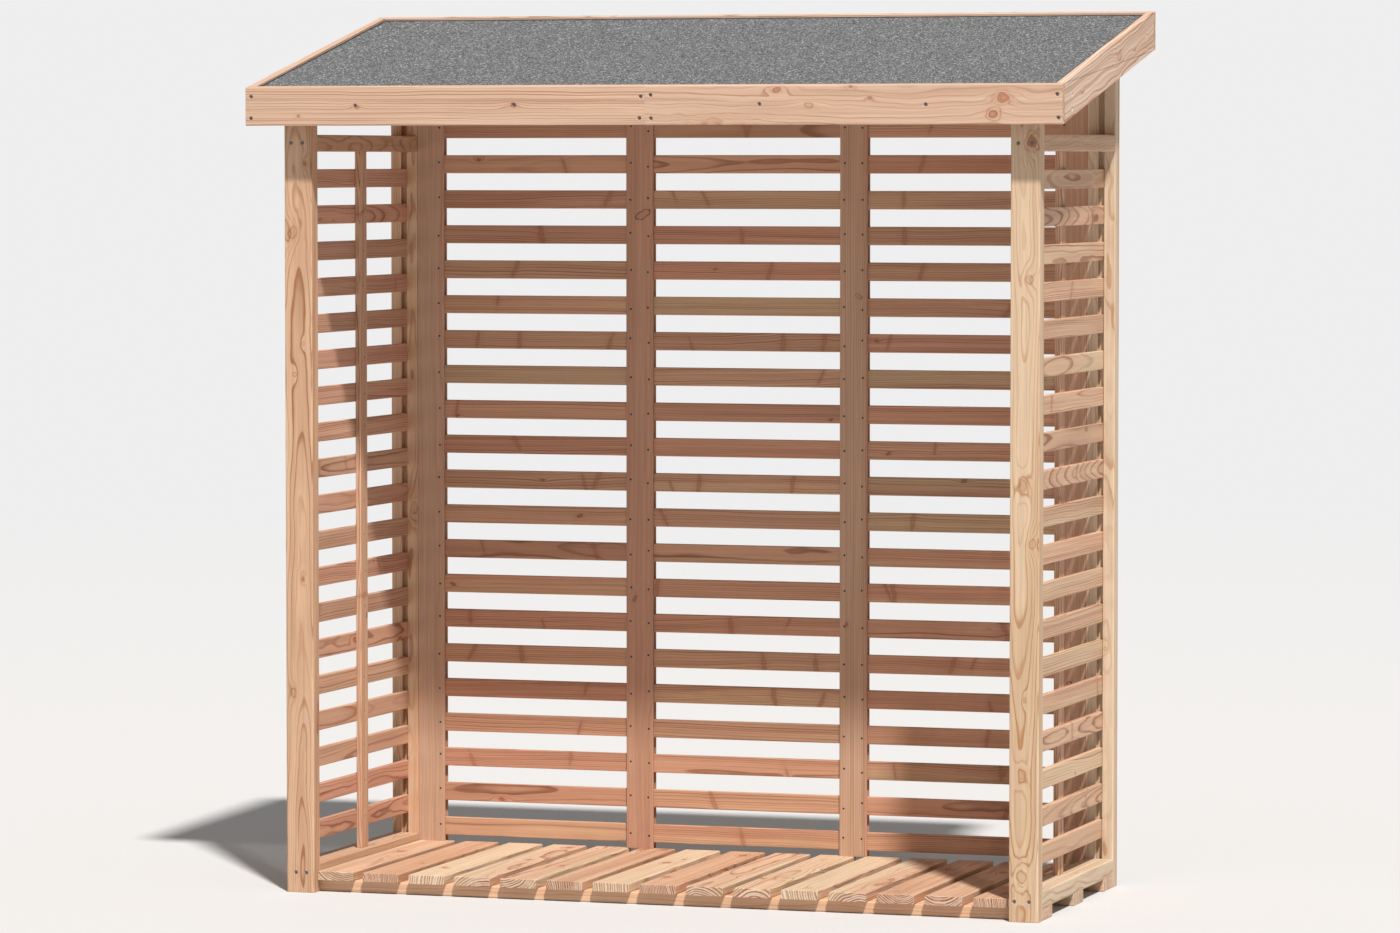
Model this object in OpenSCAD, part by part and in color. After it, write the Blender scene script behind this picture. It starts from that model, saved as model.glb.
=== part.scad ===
// Timber log store: four grooved corner posts, slatted sides and back, a raised
// slatted floor and a single-pitch felted roof with a fascia all round.
// Millimetres, +Z up, front towards -Y, origin on the ground under the middle of the roof.

/* [Overall size] */

// Width over the outer faces of the corner posts
frame_w = 1860; // [1300:10:2400]
// Depth over the outer faces of the corner posts
frame_d = 740; // [600:10:1000]
// Height of the lower edge of the front fascia above the ground
eaves_h = 1832; // [1400:1:2100]
// Pitch of the roof in degrees, rising to the back
roof_pitch = 12; // [6:0.5:16]
// Distance from the posts to the outer face of the fascia, all round
overhang = 70; // [60:1:110]

/* [Posts and rails] */

// Width of the posts across the front, and of the side rails
post_w = 70; // [60:1:90]
// Thickness of the posts front to back
post_t = 40; // [34:1:60]
// Height of the side rails, which lie flat between the posts
rail_h = 40; // [30:1:60]
// Distance from the lower edge of the front fascia down to the top of the upper side rails
top_rail_drop = 21; // [10:1:60]
// Eased edge of the posts, rails, stiles and floor timbers
arris = 3; // [1:0.5:5]

/* [Slats] */

// Height of a slat
slat_h = 45; // [40:1:60]
// Thickness of a slat
slat_t = 14; // [12:1:18]
// Open gap between two slats
slat_gap = 42; // [25:1:60]
// Eased edge of a slat
slat_arris = 2; // [0.5:0.5:4]
// Depth of the grooves that hold the slat ends
groove_d = 15; // [10:1:18]
// Clearance on each side of a slat in its groove
groove_clear = 0.5; // [0.2:0.1:1]
// Clearance between the end of a slat and the bottom of its groove
end_clear = 1; // [0.5:0.5:3]

/* [Back panel] */

// Width of the upright stiles of the back panel
stile_w = 70; // [60:1:90]
// Thickness of the stiles
stile_t = 28; // [26:1:40]
// Gap between the floor and the lowest slat of the back panel
back_lift = 15; // [5:1:40]

/* [Floor] */

// Width of the bearers that lie on the ground
bearer_w = 90; // [60:1:120]
// Thickness of the bearers
bearer_t = 28; // [20:1:45]
// Width of a floor board
board_w = 90; // [70:1:140]
// Thickness of a floor board
board_t = 22; // [18:1:36]
// Least gap between two floor boards
board_gap = 26; // [10:1:40]
// Distance from the posts' outer faces to the ends of the floor boards
board_setback = 20; // [5:1:30]
// Clearance between the floor and the bottom side rails
floor_clear = 1; // [0.5:0.5:5]

/* [Roof] */

// Height of the fascia boards
fascia_h = 90; // [80:1:130]
// Thickness of the fascia boards
fascia_t = 20; // [16:1:28]
// Height of the roof beams, measured on their lower side
beam_h = 70; // [50:1:74]
// Thickness of the roof boards, measured plumb
deck_t = 18; // [12:1:22]
// Covering width of a roof board
deck_board_w = 120; // [80:1:160]
// Joint between two roof boards
deck_joint = 2; // [1:0.5:4]
// Thickness of the roofing felt, measured plumb
felt_t = 3; // [2:0.5:5]
// Distance that the fascia stands above the felt
felt_recess = 5; // [2:0.5:12]
// Width of the block behind each fascia joint
block_w = 70; // [50:1:100]
// Distance from the lower edge of the fascia to the block behind its joint
block_lift = 10; // [4:1:20]

/* [Hidden] */

// Half sizes of the frame and of the roof
half_w = frame_w / 2;
half_d = frame_d / 2;
roof_x = half_w + overhang;
roof_y = half_d + overhang;

// Inner faces of the posts and of the fascia
post_in_x = half_w - post_w;
post_in_y = half_d - post_t;
deck_x = roof_x - fascia_t;
deck_y = roof_y - fascia_t;

// Floor and side rails, from the ground up
floor_top = bearer_t + board_t;
low_rail_z = bearer_t;
low_rail_top = low_rail_z + rail_h;
high_rail_z = eaves_h - top_rail_drop - rail_h;

// Slats in the sides, counted down from the upper rail
slat_step = slat_h + slat_gap;
side_n = floor((high_rail_z - low_rail_top - slat_gap) / slat_step);
side_first_z = high_rail_z - slat_step;

// Grooves, and the middle of the side slats, which bear on the inner lip of the groove
groove_w = slat_t + 2 * groove_clear;
groove_x = half_w - post_w / 2;
side_slat_x = groove_x - groove_clear;
side_slat_len = 2 * (post_in_y + groove_d - end_clear);
side_batten_x = side_slat_x - slat_t / 2 - slat_t;

// Roof planes: the tops of the fascia, and the underside of the roof boards
slope = tan(roof_pitch);
eaves_top = eaves_h + fascia_h;
deck_drop = felt_recess + felt_t + deck_t;
function roof_z(y) = eaves_top + (y + roof_y) * slope;
function deck_z(y) = roof_z(y) - deck_drop;
front_beam_z = deck_z(-half_d) - beam_h;
rear_beam_z = deck_z(post_in_y) - beam_h;
rear_fascia_z = roof_z(deck_y) - fascia_h;
side_fascia_h = fascia_h / cos(roof_pitch);

// Roof boards, spread over the width inside the fascia
deck_n = round(2 * deck_x / (deck_board_w + deck_joint));
deck_step = 2 * deck_x / deck_n;

// Floor boards, spread between the bottom side rails
floor_half = post_in_x - floor_clear;
floor_n = floor((2 * floor_half + board_gap) / (board_w + board_gap));
floor_step = (2 * floor_half - board_w) / (floor_n - 1);

// Back panel: four stiles between the rear posts, with slats in three bays
bays = 3;
stile_step = (2 * post_in_x - stile_w) / bays;
bay_w = stile_step - stile_w;
back_groove_y = post_in_y + stile_t / 2;
back_slat_y = back_groove_y - groove_clear;
back_slat_len = bay_w + 2 * (groove_d - end_clear);
back_first_z = floor_top + back_lift;
back_n = floor((rear_beam_z - back_first_z + slat_gap) / slat_step);

// Extra reach of a cutting tool past the face it opens
cut = 1;

timber = [0.84, 0.67, 0.53];
timber_dark = [0.74, 0.55, 0.42];
felt_grey = [0.42, 0.43, 0.44];

// Part to draw

// Section of a planed timber, centred, with its four edges eased
function eased(w, t, e) =
    [[-w / 2 + e, -t / 2], [w / 2 - e, -t / 2], [w / 2, -t / 2 + e], [w / 2, t / 2 - e],
     [w / 2 - e, t / 2], [-w / 2 + e, t / 2], [-w / 2, t / 2 - e], [-w / 2, -t / 2 + e]];

// Timber along X, Y or Z, centred on the origin across its length
module along_x(len, w, t, e) {
    rotate([90, 0, 90])
        linear_extrude(len, center = true)
            polygon(eased(w, t, e));
}

module along_y(len, w, t, e) {
    rotate([90, 0, 0])
        linear_extrude(len, center = true)
            polygon(eased(w, t, e));
}

// Outline in Y and Z, drawn out along X from x0 to x1
module profile_yz(x0, x1, outline) {
    translate([x0, 0, 0])
        rotate([90, 0, 90])
            linear_extrude(x1 - x0)
                polygon(outline);
}

// Corner post, with the groove for the side slats in its rear face
module post(height) {
    linear_extrude(height)
        difference() {
            polygon(eased(post_w, post_t, arris));
            translate([-groove_w / 2, post_t / 2 - groove_d])
                square([groove_w, groove_d + cut]);
        }
}

module front_post(side) {
    color(timber)
        translate([side * groove_x, -half_d + post_t / 2, 0])
            post(front_beam_z);
}

module rear_post(side) {
    color(timber)
        translate([side * groove_x, half_d - post_t / 2, 0])
            rotate([0, 0, 180])
                post(rear_beam_z);
}

// Side rail, lying flat between a front and a rear post
module side_rail(side, z) {
    color(timber)
        translate([side * groove_x, 0, z + rail_h / 2])
            along_y(2 * post_in_y, post_w, rail_h, arris);
}

module side_slats(side) {
    color(timber)
        for (i = [0 : side_n - 1])
            translate([side * side_slat_x, 0, side_first_z + slat_h / 2 - i * slat_step])
                along_y(side_slat_len, slat_t, slat_h, slat_arris);
}

// Upright batten inside the side slats, standing on the bottom rail
module side_batten(side) {
    color(timber_dark)
        translate([side * (side_batten_x + slat_t / 2), 0, low_rail_top])
            linear_extrude(high_rail_z - low_rail_top)
                polygon(eased(slat_t, slat_h, slat_arris));
}

// Stile of the back panel, grooved on its left and right edges where asked
module back_stile(i, groove_left, groove_right) {
    color(timber_dark)
        translate([-post_in_x + stile_w / 2 + i * stile_step, back_groove_y, floor_top])
            linear_extrude(rear_beam_z - floor_top)
                difference() {
                    polygon(eased(stile_w, stile_t, arris));
                    if (groove_left)
                        translate([-stile_w / 2 - cut, -groove_w / 2])
                            square([groove_d + cut, groove_w]);
                    if (groove_right)
                        translate([stile_w / 2 - groove_d, -groove_w / 2])
                            square([groove_d + cut, groove_w]);
                }
}

// Slats of one bay of the back panel, counted up from the floor
module back_slats(bay) {
    color(timber_dark)
        for (i = [0 : back_n - 1])
            translate([-post_in_x + stile_w / 2 + (bay + 1 / 2) * stile_step, back_slat_y,
                       back_first_z + slat_h / 2 + i * slat_step])
                along_x(back_slat_len, slat_t, slat_h, slat_arris);
}

// Bearer that lies on the ground across the full width
module bearer(y) {
    color(timber)
        translate([0, y, bearer_t / 2])
            along_x(frame_w, bearer_w, bearer_t, arris);
}

module floor_boards() {
    color(timber)
        for (i = [0 : floor_n - 1])
            translate([-floor_half + board_w / 2 + i * floor_step, 0, bearer_t + board_t / 2])
                along_y(2 * (half_d - board_setback), board_w, board_t, arris);
}

// Beam across the posts, its top bevelled to the pitch of the roof
module roof_beam(y0, z0) {
    color(timber_dark)
        profile_yz(-deck_x, deck_x, [[y0, z0], [y0 + post_t, z0],
                                     [y0 + post_t, deck_z(y0 + post_t)], [y0, deck_z(y0)]]);
}

// Roof boards, laid from the eaves up to the back
module roof_boards() {
    color(timber_dark)
        for (i = [0 : deck_n - 1])
            profile_yz(-deck_x + i * deck_step + deck_joint / 2,
                       -deck_x + (i + 1) * deck_step - deck_joint / 2,
                       [[-deck_y, deck_z(-deck_y)], [deck_y, deck_z(deck_y)],
                        [deck_y, deck_z(deck_y) + deck_t], [-deck_y, deck_z(-deck_y) + deck_t]]);
}

module roof_felt() {
    color(felt_grey)
        profile_yz(-deck_x, deck_x, [[-deck_y, roof_z(-deck_y) - felt_recess - felt_t],
                                     [deck_y, roof_z(deck_y) - felt_recess - felt_t],
                                     [deck_y, roof_z(deck_y) - felt_recess],
                                     [-deck_y, roof_z(-deck_y) - felt_recess]]);
}

// Front or rear fascia, plumb, with its top edge bevelled and its lower edges eased
module fascia_level(x0, x1, y0, z0) {
    color(timber)
        profile_yz(x0, x1, [[y0 + arris, z0], [y0 + fascia_t - arris, z0], [y0 + fascia_t, z0 + arris],
                            [y0 + fascia_t, roof_z(y0 + fascia_t)], [y0, roof_z(y0)], [y0, z0 + arris]]);
}

// Side fascia, following the pitch between the front and rear fascia
module fascia_side(side) {
    color(timber)
        profile_yz(side > 0 ? deck_x : -roof_x, side > 0 ? roof_x : -deck_x,
                   [[-deck_y, roof_z(-deck_y) - side_fascia_h], [deck_y, roof_z(deck_y) - side_fascia_h],
                    [deck_y, roof_z(deck_y)], [-deck_y, roof_z(-deck_y)]]);
}

// Block between a beam and the fascia, behind the joint of the fascia
module fascia_block(y0, y1, z0) {
    color(timber_dark)
        profile_yz(-block_w / 2, block_w / 2,
                   [[y0, z0], [y1, z0], [y1, deck_z(y1)], [y0, deck_z(y0)]]);
}

front_post(-1);  // front_post_left
front_post(1);  // front_post_right
rear_post(-1);  // rear_post_left
rear_post(1);  // rear_post_right
side_rail(-1, high_rail_z);  // top_rail_left
side_rail(1, high_rail_z);  // top_rail_right
side_rail(-1, low_rail_z);  // bottom_rail_left
side_rail(1, low_rail_z);  // bottom_rail_right
side_slats(-1);  // side_slats_left
side_slats(1);  // side_slats_right
side_batten(-1);  // side_batten_left
side_batten(1);  // side_batten_right
back_stile(0, false, true);  // back_stile_left
back_stile(1, true, true);  // back_stile_mid_left
back_stile(2, true, true);  // back_stile_mid_right
back_stile(3, true, false);  // back_stile_right
back_slats(0);  // back_slats_left
back_slats(1);  // back_slats_middle
back_slats(2);  // back_slats_right
bearer(-post_in_y + bearer_w / 2);  // bearer_front
bearer(0);  // bearer_middle
bearer(post_in_y - bearer_w / 2);  // bearer_rear
floor_boards();
roof_beam(-half_d, front_beam_z);  // roof_beam_front
roof_beam(post_in_y, rear_beam_z);  // roof_beam_rear
roof_boards();
roof_felt();
fascia_level(-roof_x, 0, -roof_y, eaves_h);  // fascia_front_left
fascia_level(0, roof_x, -roof_y, eaves_h);  // fascia_front_right
fascia_level(-roof_x, 0, deck_y, rear_fascia_z);  // fascia_rear_left
fascia_level(0, roof_x, deck_y, rear_fascia_z);  // fascia_rear_right
fascia_side(-1);  // fascia_side_left
fascia_side(1);  // fascia_side_right
fascia_block(-deck_y, -half_d, eaves_h + block_lift);  // fascia_block_front
fascia_block(half_d, deck_y, rear_fascia_z + block_lift);  // fascia_block_rear
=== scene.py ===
import math
import random

import bpy
import numpy as np
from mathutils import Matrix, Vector, noise


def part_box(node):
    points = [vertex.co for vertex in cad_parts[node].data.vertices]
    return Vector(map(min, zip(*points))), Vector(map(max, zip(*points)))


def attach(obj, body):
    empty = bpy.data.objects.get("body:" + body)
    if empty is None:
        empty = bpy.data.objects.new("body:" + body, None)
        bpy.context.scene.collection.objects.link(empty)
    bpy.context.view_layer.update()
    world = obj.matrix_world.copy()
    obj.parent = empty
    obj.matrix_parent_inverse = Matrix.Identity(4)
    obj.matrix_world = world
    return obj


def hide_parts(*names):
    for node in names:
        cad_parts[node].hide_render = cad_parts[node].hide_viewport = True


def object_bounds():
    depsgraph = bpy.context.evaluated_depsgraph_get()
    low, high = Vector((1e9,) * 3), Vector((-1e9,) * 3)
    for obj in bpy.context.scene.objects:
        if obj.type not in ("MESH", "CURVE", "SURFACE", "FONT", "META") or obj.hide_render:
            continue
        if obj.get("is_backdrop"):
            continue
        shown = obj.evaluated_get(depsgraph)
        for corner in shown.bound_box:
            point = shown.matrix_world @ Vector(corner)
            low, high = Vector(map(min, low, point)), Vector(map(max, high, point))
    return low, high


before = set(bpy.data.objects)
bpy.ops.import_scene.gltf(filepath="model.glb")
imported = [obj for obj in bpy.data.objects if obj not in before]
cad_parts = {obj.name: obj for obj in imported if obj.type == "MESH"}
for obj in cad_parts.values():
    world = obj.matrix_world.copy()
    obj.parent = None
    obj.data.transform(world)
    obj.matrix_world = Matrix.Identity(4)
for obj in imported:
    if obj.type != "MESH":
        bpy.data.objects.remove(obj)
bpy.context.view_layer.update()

X = Vector((1, 0, 0))
Y = Vector((0, 1, 0))
Z = Vector((0, 0, 1))
AXES = (X, Y, Z)
IX, IY, IZ = range(3)

PITCH = math.radians(12)
SLOPE = math.tan(PITCH)
UP_ROOF = Vector((0, math.cos(PITCH), math.sin(PITCH)))
OFF_ROOF = Vector((0, -math.sin(PITCH), math.cos(PITCH)))

# Grooves in posts and stiles, and how far edges and ends are eased, in metres
GROOVE_W = 0.015
GROOVE_D = 0.015
GROOVE_LIP = 0.0006
FRAME_ARRIS = 0.003
SLAT_ARRIS = 0.002
END_EASE = 0.0012
TIGHT_EASE = 0.0005
BEAM_RADII = (0.002, 0.002, 0.0005, 0.0005)
BLOCK_EASE = 0.001
ROOF_ARRIS = 0.0004
ROOF_EASE = 0.0015
FASCIA_RADII = (0.003, 0.003, 0.0012, 0.0012)
FASCIA_EASE = 0.0008

# Width and thickness of the roof's boards, and the lengths that knots are spread over
BEAM_SIZE = (0.07, 0.04)
BLOCK_SIZE = (0.07, 0.05)
ROOF_BOARD_SIZE = (0.12, 0.018)
FASCIA_SIZE = (0.09, 0.02)
BEAM_SPAN = 1.9
BATTEN_SPAN = 1.7

# Screws and nails with their holes. Rings are a depth below the top and a share of the radius.
HEAD_R = 0.0042
HEAD_SINK = 0.0010
FASCIA_SINK = 0.0014
SCREW_HOLE = 0.0036
SCREW_FLARE = 0.0018
HEAD_SIDES = 16
HEAD_RINGS = ((0.0022, 0.55), (0.0003, 1.0), (0.0, 0.94))
CROSS_RINGS = ((0.0, 1.0), (0.0013, 0.62))
CROSS_ARM = 0.60
CROSS_WAIST = 0.22
NAIL_R = 0.0024
NAIL_SINK = 0.0004
NAIL_DENT = 0.0014
NAIL_FLARE = 0.0008
NAIL_SIDES = 10
NAIL_RINGS = ((0.0009, 1.0), (0.0002, 1.0), (0.0, 0.75))
HOLE_SIDES = 20
HOLE_PLAY = 0.0001
HOLE_WAIST = 0.3
HOLE_PROUD = 0.0010

# Names of a board's knots, how many most woods have, and one that lies too far off to show
KNOTS = ("knot_a", "knot_b", "knot_c", "knot_d", "knot_e", "knot_f", "knot_g")
ALL_KNOTS = len(KNOTS)
FEW_KNOTS = 3
NO_KNOT = (90.0, 90.0, 0.001)
KNOT_ALONG = 0.46
KNOT_ACROSS = 0.36

# For each kind of board: its width, the chance of each knot, the least and greatest radius of a knot,
# and the share that are of the wood's other kind
KNOTTY = {
    "post": (0.07, 0.6, 0.004, 0.009, 0.6),
    "rail": (0.07, 0.4, 0.004, 0.007, 0.5),
    "side_slat": (0.045, 0.22, 0.0025, 0.0055, 0.65),
    "batten": (0.045, 0.5, 0.003, 0.006, 0.6),
    "stile": (0.07, 0.4, 0.003, 0.006, 0.6),
    "back_slat": (0.045, 0.42, 0.0025, 0.0050, 0.80),
    "bearer": (0.09, 0.7, 0.004, 0.011, 0.0),
    "floor": (0.09, 0.45, 0.004, 0.010, 0.3),
    "beam": (0.07, 0.7, 0.004, 0.009, 0.0),
    "roof": (0.12, 0.5, 0.004, 0.011, 0.0),
    "fascia": (0.09, 0.6, 0.003, 0.009, 0.4),
}


def stray(rng, amount):
    """A small step either way."""
    return rng.uniform(-amount, amount)


# Outlines and solids


def rounded(outline, radii, steps):
    """Outline of anticlockwise points, with each corner that has a radius turned into an arc."""
    points = []
    count = len(outline)
    for i, radius in enumerate(radii):
        p = Vector(outline[i])
        if radius <= 0:
            points.append(p)
            continue
        a = (Vector(outline[i - 1]) - p).normalized()
        b = (Vector(outline[(i + 1) % count]) - p).normalized()
        half = a.angle(b) / 2
        centre = p + (a + b).normalized() * (radius / math.sin(half))
        start = p + a * (radius / math.tan(half)) - centre
        end = p + b * (radius / math.tan(half)) - centre
        a0 = math.atan2(start.y, start.x)
        turn = (math.atan2(end.y, end.x) - a0 + math.pi) % (2 * math.pi) - math.pi
        for k in range(steps + 1):
            angle = a0 + turn * k / steps
            points.append(centre + Vector((math.cos(angle), math.sin(angle))) * radius)
    return points


def inset(points, distance):
    """Outline moved inwards by a distance."""
    moved = []
    count = len(points)
    for i, p in enumerate(points):
        before = (p - points[i - 1]).normalized()
        after = (points[(i + 1) % count] - p).normalized()
        n1 = Vector((before.y, -before.x))
        n2 = Vector((after.y, -after.x))
        moved.append(p - (n1 + n2) * (distance / (1 + n1.dot(n2))))
    return moved


def prism(outline, radii, axes, start, end, ease, steps=3):
    """Points and faces of an outline in the first two axes, drawn along the third, with eased end edges."""
    loop = rounded(outline, radii, steps)
    rings = []
    for k in range(steps + 1):
        angle = math.pi / 2 * k / steps
        rings.append((ease * (1 - math.cos(angle)), inset(loop, ease * (1 - math.sin(angle)))))
    sections = [(start + d, ring) for d, ring in rings]
    sections += [(end - d, ring) for d, ring in reversed(rings)]
    u, v, w = axes
    points = [u * p.x + v * p.y + w * h for h, ring in sections for p in ring]
    n = len(loop)
    faces = []
    for r in range(len(sections) - 1):
        for i in range(n):
            j = (i + 1) % n
            faces.append((r * n + i, r * n + j, (r + 1) * n + j, (r + 1) * n + i))
    faces.append(tuple(reversed(range(n))))
    faces.append(tuple(range((len(sections) - 1) * n, len(sections) * n)))
    return points, faces


def disc_ring(centre, normal, radius, count, turn=0.0):
    """Points of a circle square to a direction."""
    side = normal.orthogonal().normalized()
    other = normal.cross(side)
    angles = [turn + 2 * math.pi * k / count for k in range(count)]
    return [centre + side * (radius * math.cos(a)) + other * (radius * math.sin(a)) for a in angles]


def bridge(first, second, count):
    """Faces between two rings of points, given by their first numbers."""
    return [(first + k, first + (k + 1) % count, second + (k + 1) % count, second + k) for k in range(count)]


def stack(points, faces, rings):
    """Adds a solid to points and faces: rings laid one over the other and closed at both ends."""
    count = len(rings[0])
    first = len(points)
    for ring in rings:
        points += ring
    for r in range(len(rings) - 1):
        faces += bridge(first + r * count, first + (r + 1) * count, count)
    last = len(points) - count
    faces.append(tuple(reversed(range(first, first + count))))
    faces.append(tuple(range(last, last + count)))


def mesh_of(name, points, faces, material=None):
    """Mesh of points and faces, in one material."""
    mesh = bpy.data.meshes.new(name)
    mesh.from_pydata(points, [], faces)
    if material:
        mesh.materials.append(material)
    return mesh


def linked(name, data):
    """Object of a mesh, light or camera, in the scene."""
    made = bpy.data.objects.new(name, data)
    bpy.context.scene.collection.objects.link(made)
    return made


def drilled(solid, places, radius, depth, flare):
    """Solid with a flared hole for each screw or nail, given as a place and an outward direction."""
    cutter = ([], [])
    for at, out in places:
        stack(*cutter, [
            disc_ring(at - out * depth, out, radius + HOLE_PLAY, HOLE_SIDES),
            disc_ring(at - out * (depth * HOLE_WAIST), out, radius + 2 * HOLE_PLAY, HOLE_SIDES),
            disc_ring(at + out * HOLE_PROUD, out, radius + flare, HOLE_SIDES)])
    blanks = [linked("blank", mesh_of("blank", *shape)) for shape in (solid, cutter)]
    holes = blanks[0].modifiers.new("holes", "BOOLEAN")
    holes.operation = "DIFFERENCE"
    holes.solver = "EXACT"
    holes.object = blanks[1]
    bpy.context.view_layer.update()
    result = bpy.data.meshes.new_from_object(blanks[0].evaluated_get(bpy.context.evaluated_depsgraph_get()))
    new_points = [v.co.copy() for v in result.vertices]
    new_faces = [tuple(p.vertices) for p in result.polygons]
    for blank in blanks:
        mesh = blank.data
        bpy.data.objects.remove(blank)
        bpy.data.meshes.remove(mesh)
    bpy.data.meshes.remove(result)
    return new_points, new_faces


def screwed(solid, places, deeper=0.0):
    """Solid with countersunk holes for screws, which may be driven deeper than usual."""
    return drilled(solid, places, HEAD_R, SCREW_HOLE + deeper, SCREW_FLARE)


def sunk(places, deeper):
    """Places of screws moved into the wood."""
    return [(at - out * deeper, out) for at, out in places]


def nailed(solid, places):
    """Solid with the small dents that nails are driven into."""
    return drilled(solid, places, NAIL_R, NAIL_DENT, NAIL_FLARE)


def islands(node):
    """Boxes of the separate solids in a node, as pairs of corners."""
    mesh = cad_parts[node].data
    co = np.array([v.co for v in mesh.vertices])
    keys, of = np.unique(np.round(co, 5), axis=0, return_inverse=True)
    of = of.reshape(-1)
    root = list(range(len(keys)))

    def find(i):
        while root[i] != i:
            root[i] = root[root[i]]
            i = root[i]
        return i

    for polygon in mesh.polygons:
        corners = [of[v] for v in polygon.vertices]
        for c in corners[1:]:
            root[find(c)] = find(corners[0])
    groups = {}
    for i in range(len(keys)):
        groups.setdefault(find(i), []).append(keys[i])
    boxes = [(Vector(np.min(g, axis=0)), Vector(np.max(g, axis=0))) for g in groups.values()]
    return sorted(boxes, key=lambda b: tuple(round(c, 4) for c in b[0]))


# Boards with their own grain


class Timbers:
    """The boards that stand for one node, with what the wood material needs to know about each.

    Flat is the share of boards sawn with the heart behind the face and not beside it. Swell is how much their
    rings swell, at least and at most.
    """

    END_FACING = 0.9
    FLAT_FACING = 0.97

    def __init__(self, node, knots=FEW_KNOTS, flat=0.45, swell=(0.4, 1.2)):
        self.node = node
        self.flat = flat
        self.swell = swell
        self.points = []
        self.faces = []
        self.knots = KNOTS[:knots]
        self.values = {name: [] for name in ("grain", "pith", "tone", "habit") + self.knots}
        self.edge = []
        self.cut = []
        self.count = 0

    def add(self, solid, centre, long, wide, thick, size, knots=(), tone=None, heart=None, habit=None):
        """One board. Its knots are given as places along and across the board and a radius.

        Heart is where the middle of the tree lies, across the board and through it. Tone is how bright and how
        olive the board is, and how far out its sapwood starts. Habit is how far the heart wanders, how much the
        rings swell and how strong they show.
        """
        points, faces = solid
        rng = random.Random(f"{self.node}-{self.count}")
        self.count += 1
        width, depth = size
        if heart is None:
            side = rng.choice((-1, 1))
            if rng.random() < self.flat:
                heart = (rng.uniform(-0.35, 0.35) * width, side * (rng.uniform(0.02, 0.07) + depth / 2))
            else:
                heart = (rng.choice((-1, 1)) * rng.uniform(0.9, 2.2) * width, side * rng.uniform(0.005, 0.04))
        if tone is None:
            tone = (rng.random(), rng.random(), rng.random())
        if habit is None:
            habit = (rng.uniform(0.3, 0.9), rng.uniform(*self.swell), rng.uniform(0.75, 1.15))
        pith = (rng.uniform(0, 60), *heart)
        knots = (list(knots) + [NO_KNOT] * len(self.knots))[:len(self.knots)]
        first = len(self.points)
        for p in points:
            d = p - centre
            self.points.append(p)
            self.values["grain"].append((d.dot(long), d.dot(wide), d.dot(thick)))
            self.values["pith"].append(pith)
            self.values["tone"].append(tone)
            self.values["habit"].append(habit)
            for name, knot in zip(self.knots, knots):
                self.values[name].append(knot)
        for face in faces:
            normal = Vector((0, 0, 0))
            corners = [points[i] for i in face]
            for i in range(len(corners)):
                normal += corners[i - 1].cross(corners[i])
            normal.normalize()
            ends = abs(normal.dot(long))
            flat = max(abs(normal.dot(wide)), abs(normal.dot(thick)), ends)
            self.cut.append(1.0 if ends > self.END_FACING else 0.0)
            # Faces of the eased arrises are flagged for a painted highlight along the edges
            self.edge.append(1.0 if flat < self.FLAT_FACING else 0.0)
            self.faces.append(tuple(first + i for i in face))

    def piece(self, material, slot):
        """The boards as one object, in place of the node."""
        mesh = mesh_of(self.node + "_timber", self.points, self.faces, material)
        for name, values in self.values.items():
            attribute = mesh.attributes.new(name, "FLOAT_VECTOR", "POINT")
            attribute.data.foreach_set("vector", np.array(values, np.float32).ravel())
        for name, values in (("edge", self.edge), ("cut", self.cut)):
            attribute = mesh.attributes.new(name, "FLOAT", "FACE")
            attribute.data.foreach_set("value", np.array(values, np.float32))
        mesh.update()
        place(mesh, slot, self.node)


def place(mesh, slot=None, *nodes):
    """Object of a mesh, riding on the store and standing for the nodes it is given."""
    piece = linked(mesh.name, mesh)
    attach(piece, "root")
    if nodes:
        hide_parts(*nodes)


def some_knots(name, length, kind):
    """Places of the knots in a board of a kind. A negative radius marks the wood's other kind of knot."""
    width, share, small, large, others = KNOTTY[kind]
    rng = random.Random("knots-" + name)
    found = []
    for _ in range(FEW_KNOTS):
        if rng.random() < share:
            along = stray(rng, KNOT_ALONG) * length
            across = stray(rng, KNOT_ACROSS) * width
            radius = rng.uniform(small, large)
            found.append((along, across, -radius if rng.random() < others else radius))
    return found


def leaning(long, thick, lean):
    """Directions along and through a board whose grain runs out of its face at a small angle."""
    return long * math.cos(lean) + thick * math.sin(lean), thick * math.cos(lean) - long * math.sin(lean)


def straight(timbers, lo, hi, along, thin, arris, nails=(), lean=0.0, **more):
    """Square-edged board between two corners, its grain along one axis and its faces square to another."""
    broad = IX + IY + IZ - along - thin
    wide, thick, long = AXES[broad], AXES[thin], AXES[along]
    if wide.cross(thick).dot(long) < 0:
        u, v, iu, iv = thick, wide, thin, broad
    else:
        u, v, iu, iv = wide, thick, broad, thin
    outline = [(lo[iu], lo[iv]), (hi[iu], lo[iv]), (hi[iu], hi[iv]), (lo[iu], hi[iv])]
    solid = prism(outline, [arris] * 4, (u, v, long), lo[along], hi[along], END_EASE)
    if nails:
        solid = nailed(solid, nails)
    size = (hi[broad] - lo[broad], hi[thin] - lo[thin])
    grain, through = leaning(long, thick, lean)
    timbers.add(solid, (lo + hi) / 2, grain, wide, through, size, **more)


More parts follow.
